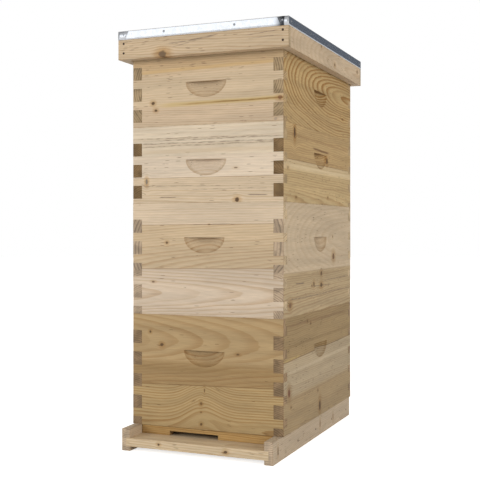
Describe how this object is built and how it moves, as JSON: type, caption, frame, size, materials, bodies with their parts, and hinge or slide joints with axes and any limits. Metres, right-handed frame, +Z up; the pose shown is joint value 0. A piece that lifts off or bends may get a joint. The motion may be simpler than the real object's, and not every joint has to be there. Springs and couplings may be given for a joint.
{
  "type": "beehive",
  "caption": "Stacked-box wooden beehive with movable frames, finger-jointed supers with scooped handholds, a porch with an entrance reducer and a metal-topped telescoping cover.",
  "frame": {"origin": "on the ground at the middle of the whole hive's footprint", "axes": "+Z up along the stack, -Y out of the entrance, +X to the right of someone facing the entrance from outside"},
  "size_m": [0.4014, 0.5822, 0.915],
  "materials": {
    "hive_wood": "planed, unpainted",
    "frame_wood": "planed, unpainted",
    "wax": "embossed wax",
    "galvanised_sheet": "bright galvanised",
    "nail_steel": "dull"
  },
  "bodies": {
    "bottom_board": {"rail_right": "hive_wood", "rail_left": "hive_wood", "floor_board": "hive_wood", "rear_cleat": "hive_wood", "rail_nails": "nail_steel"},
    "reducer": {"entrance_reducer": "hive_wood"},
    "deep_lower": {"deep_lower_front": "hive_wood", "deep_lower_back": "hive_wood", "deep_lower_right": "hive_wood", "deep_lower_left": "hive_wood", "deep_lower_frames": "frame_wood", "deep_lower_foundations": "wax"},
    "deep_upper": {"deep_upper_front": "hive_wood", "deep_upper_back": "hive_wood", "deep_upper_right": "hive_wood", "deep_upper_left": "hive_wood", "deep_upper_frames": "frame_wood", "deep_upper_foundations": "wax"},
    "medium_lower": {"medium_lower_front": "hive_wood", "medium_lower_back": "hive_wood", "medium_lower_right": "hive_wood", "medium_lower_left": "hive_wood", "medium_lower_frames": "frame_wood", "medium_lower_foundations": "wax"},
    "medium_upper": {"medium_upper_front": "hive_wood", "medium_upper_back": "hive_wood", "medium_upper_right": "hive_wood", "medium_upper_left": "hive_wood"},
    "frame_1": {"top_frame_1": "frame_wood", "top_foundation_1": "wax"},
    "frame_2": {"top_frame_2": "frame_wood", "top_foundation_2": "wax"},
    "frame_3": {"top_frame_3": "frame_wood", "top_foundation_3": "wax"},
    "frame_4": {"top_frame_4": "frame_wood", "top_foundation_4": "wax"},
    "frame_5": {"top_frame_5": "frame_wood", "top_foundation_5": "wax"},
    "frame_6": {"top_frame_6": "frame_wood", "top_foundation_6": "wax"},
    "frame_7": {"top_frame_7": "frame_wood", "top_foundation_7": "wax"},
    "frame_8": {"top_frame_8": "frame_wood", "top_foundation_8": "wax"},
    "inner_cover": {"inner_cover_panel": "hive_wood", "inner_cover_right": "hive_wood", "inner_cover_left": "hive_wood", "inner_cover_front": "hive_wood", "inner_cover_back": "hive_wood"},
    "outer_cover": {"cover_rim_front": "hive_wood", "cover_rim_back": "hive_wood", "cover_rim_right": "hive_wood", "cover_rim_left": "hive_wood", "cover_deck": "hive_wood", "cover_sheet": "galvanised_sheet", "rim_nails": "nail_steel", "sheet_nails": "nail_steel"}
  },
  "joints": [
    {"name": "entrance_reducer_slide", "type": "slide", "parent": "bottom_board", "child": "reducer", "axis": [0, -1, 0], "range_m": [0, 0.08]},
    {"name": "deep_lower_lift", "type": "slide", "parent": "bottom_board", "child": "deep_lower", "axis": [0, 0, 1], "range_m": [0, 0.12]},
    {"name": "deep_upper_lift", "type": "slide", "parent": "deep_lower", "child": "deep_upper", "axis": [0, 0, 1], "range_m": [0, 0.12]},
    {"name": "medium_lower_lift", "type": "slide", "parent": "deep_upper", "child": "medium_lower", "axis": [0, 0, 1], "range_m": [0, 0.12]},
    {"name": "medium_upper_lift", "type": "slide", "parent": "medium_lower", "child": "medium_upper", "axis": [0, 0, 1], "range_m": [0, 0.12]},
    {"name": "inner_cover_lift", "type": "slide", "parent": "medium_upper", "child": "inner_cover", "axis": [0, 0, 1], "range_m": [0, 0.1]},
    {"name": "cover_lift", "type": "slide", "parent": "inner_cover", "child": "outer_cover", "axis": [0, 0, 1], "range_m": [0, 0.15]},
    {"name": "top_frame_1_lift", "type": "slide", "parent": "medium_upper", "child": "frame_1", "axis": [0, 0, 1], "range_m": [0, 0.006]},
    {"name": "top_frame_2_lift", "type": "slide", "parent": "medium_upper", "child": "frame_2", "axis": [0, 0, 1], "range_m": [0, 0.006]},
    {"name": "top_frame_3_lift", "type": "slide", "parent": "medium_upper", "child": "frame_3", "axis": [0, 0, 1], "range_m": [0, 0.006]},
    {"name": "top_frame_4_lift", "type": "slide", "parent": "medium_upper", "child": "frame_4", "axis": [0, 0, 1], "range_m": [0, 0.006]},
    {"name": "top_frame_5_lift", "type": "slide", "parent": "medium_upper", "child": "frame_5", "axis": [0, 0, 1], "range_m": [0, 0.006]},
    {"name": "top_frame_6_lift", "type": "slide", "parent": "medium_upper", "child": "frame_6", "axis": [0, 0, 1], "range_m": [0, 0.006]},
    {"name": "top_frame_7_lift", "type": "slide", "parent": "medium_upper", "child": "frame_7", "axis": [0, 0, 1], "range_m": [0, 0.006]},
    {"name": "top_frame_8_lift", "type": "slide", "parent": "medium_upper", "child": "frame_8", "axis": [0, 0, 1], "range_m": [0, 0.006]}
  ]
}
